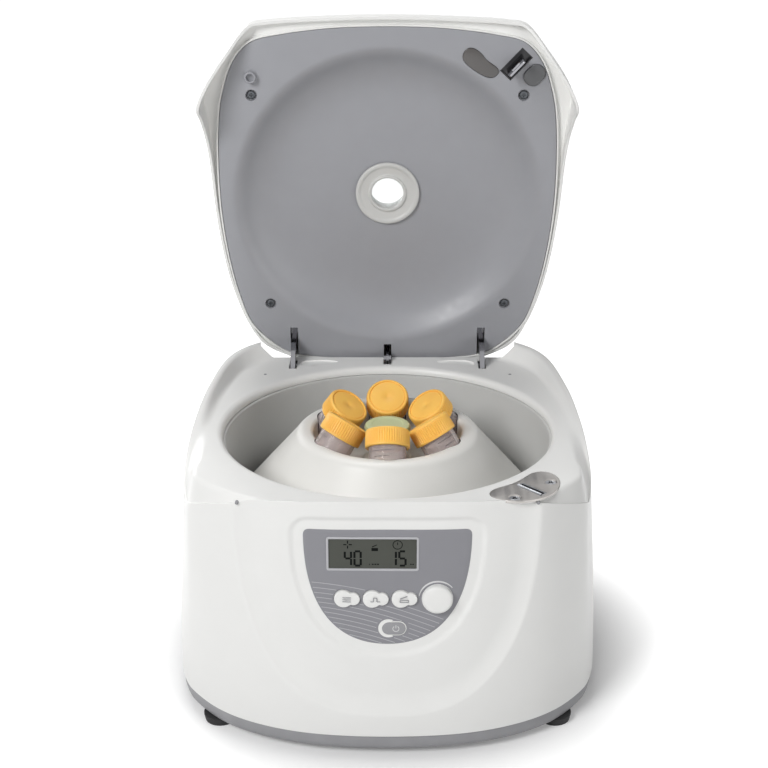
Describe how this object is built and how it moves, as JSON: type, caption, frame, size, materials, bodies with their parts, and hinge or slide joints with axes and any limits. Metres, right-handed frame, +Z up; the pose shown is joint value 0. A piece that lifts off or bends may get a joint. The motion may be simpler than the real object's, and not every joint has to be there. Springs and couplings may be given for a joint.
{
  "type": "bench centrifuge",
  "caption": "Bench laboratory centrifuge with a hinged lid standing open, a control panel in front and a fixed-angle rotor holding capped tubes.",
  "frame": {"origin": "centre of the overall box, on the plane the feet rest on", "axes": "+Z up, +X to the right of a person facing the control panel, +Y away from that person"},
  "size_m": [0.3324, 0.36, 0.4989],
  "materials": {
    "white_plastic": "smooth moulded, soft gloss",
    "chamber_plastic": "smooth moulded",
    "grey_plastic": "fine satin moulded",
    "base_plastic": "fine satin moulded",
    "panel_film": "satin printed film",
    "lcd_glass": "glossy cover over a reflective display",
    "rotor_plastic": "smooth moulded",
    "green_plastic": "satin moulded",
    "tube_plastic": "clear moulded",
    "cap_plastic": "satin moulded with a ribbed grip",
    "window_plastic": "clear",
    "steel": "brushed",
    "plate_steel": "brushed",
    "chrome": "polished",
    "motor_metal": "satin paint",
    "dark_plastic": "satin",
    "rubber": "matt",
    "circuit_board": "lacquered"
  },
  "bodies": {
    "base": {"housing": "white_plastic", "base_pan": "base_plastic", "foot_1": "rubber", "foot_2": "rubber", "foot_3": "rubber", "foot_4": "rubber", "chamber_bowl": "chamber_plastic", "control_panel": "panel_film", "lcd_bezel": "grey_plastic", "lcd_screen": "lcd_glass", "control_board": "circuit_board", "power_board": "circuit_board", "power_inlet": "dark_plastic", "latch_plate": "plate_steel", "latch_housing": "dark_plastic", "hinge_bracket_1": "steel", "hinge_bracket_2": "steel", "hinge_pin_1": "steel", "hinge_pin_2": "steel", "strut_bracket": "steel", "motor_body": "motor_metal", "motor_mount": "steel", "damper_1": "rubber", "damper_2": "rubber", "damper_3": "rubber", "shaft_seal": "rubber"},
    "lid": {"lid_shell": "white_plastic", "lid_liner": "grey_plastic", "window_ring": "white_plastic", "window_pane": "window_plastic", "lid_peg": "grey_plastic", "switch_plate": "dark_plastic", "latch_hook": "steel", "strut_lug": "steel", "hinge_arm_1": "chrome", "hinge_arm_2": "chrome"},
    "strut_cylinder": {"strut_cylinder": "motor_metal"},
    "strut_rod": {"strut_rod": "chrome"},
    "latch_bolt": {"latch_bolt": "steel"},
    "rotor": {"rotor": "rotor_plastic", "rotor_nut": "green_plastic", "drive_shaft": "steel", "tube_2": "tube_plastic", "tube_3": "tube_plastic", "tube_4": "tube_plastic", "tube_5": "tube_plastic", "tube_6": "tube_plastic", "cap_2": "cap_plastic", "cap_3": "cap_plastic", "cap_4": "cap_plastic", "cap_5": "cap_plastic", "cap_6": "cap_plastic"},
    "tube_1": {"tube_1": "tube_plastic", "cap_1": "cap_plastic"},
    "control_knob": {"control_knob": "white_plastic"},
    "button_1": {"button_1": "white_plastic"},
    "button_2": {"button_2": "white_plastic"},
    "button_3": {"button_3": "white_plastic"},
    "start_button": {"start_button": "grey_plastic"},
    "power_switch": {"power_switch": "dark_plastic"}
  },
  "joints": [
    {"name": "lid_hinge", "type": "hinge", "parent": "base", "child": "lid", "pos_m": [0, 0.12325, 0.197], "axis": [-1, 0, 0], "range_deg": [-85, 0]},
    {"name": "strut_tilt", "type": "hinge", "parent": "base", "child": "strut_cylinder", "pos_m": [0, 0.11885, 0.053], "axis": [-1, 0, 0], "range_deg": [-1.9, 0.1]},
    {"name": "strut_slide", "type": "slide", "parent": "strut_cylinder", "child": "strut_rod", "axis": [0, 0.0066, 1], "range_m": [-0.0105, 0.0001]},
    {"name": "latch_bolt_slide", "type": "slide", "parent": "base", "child": "latch_bolt", "axis": [0.7314, 0.682, 0], "range_m": [-0.007, 0]},
    {"name": "rotor_spin", "type": "hinge", "parent": "base", "child": "rotor", "pos_m": [0, -0.02515, 0.143], "axis": [0, 0, 1], "continuous": true},
    {"name": "tube_1_lift", "type": "slide", "parent": "rotor", "child": "tube_1", "axis": [0, 0.5878, 0.809], "range_m": [0, 0.112]},
    {"name": "knob_turn", "type": "hinge", "parent": "base", "child": "control_knob", "pos_m": [0.0355, -0.17515, 0.129], "axis": [0, -1, 0], "continuous": true},
    {"name": "button_1_press", "type": "slide", "parent": "base", "child": "button_1", "axis": [0, 1, 0], "range_m": [0, 0.001], "stiffness_N_per_m": 250},
    {"name": "button_2_press", "type": "slide", "parent": "base", "child": "button_2", "axis": [0, 1, 0], "range_m": [0, 0.001], "stiffness_N_per_m": 250},
    {"name": "button_3_press", "type": "slide", "parent": "base", "child": "button_3", "axis": [0, 1, 0], "range_m": [0, 0.001], "stiffness_N_per_m": 250},
    {"name": "start_button_press", "type": "slide", "parent": "base", "child": "start_button", "axis": [0, 1, 0], "range_m": [0, 0.001], "stiffness_N_per_m": 250},
    {"name": "power_switch_rock", "type": "hinge", "parent": "base", "child": "power_switch", "pos_m": [0.098, 0.16865, 0.055], "axis": [1, 0, 0], "range_deg": [0, 16]}
  ],
  "couplings": [
    {"joint": "strut_tilt", "follows": "lid_hinge", "ratio": 0.020706},
    {"joint": "strut_slide", "follows": "lid_hinge", "m_per_rad": 0.006876}
  ]
}
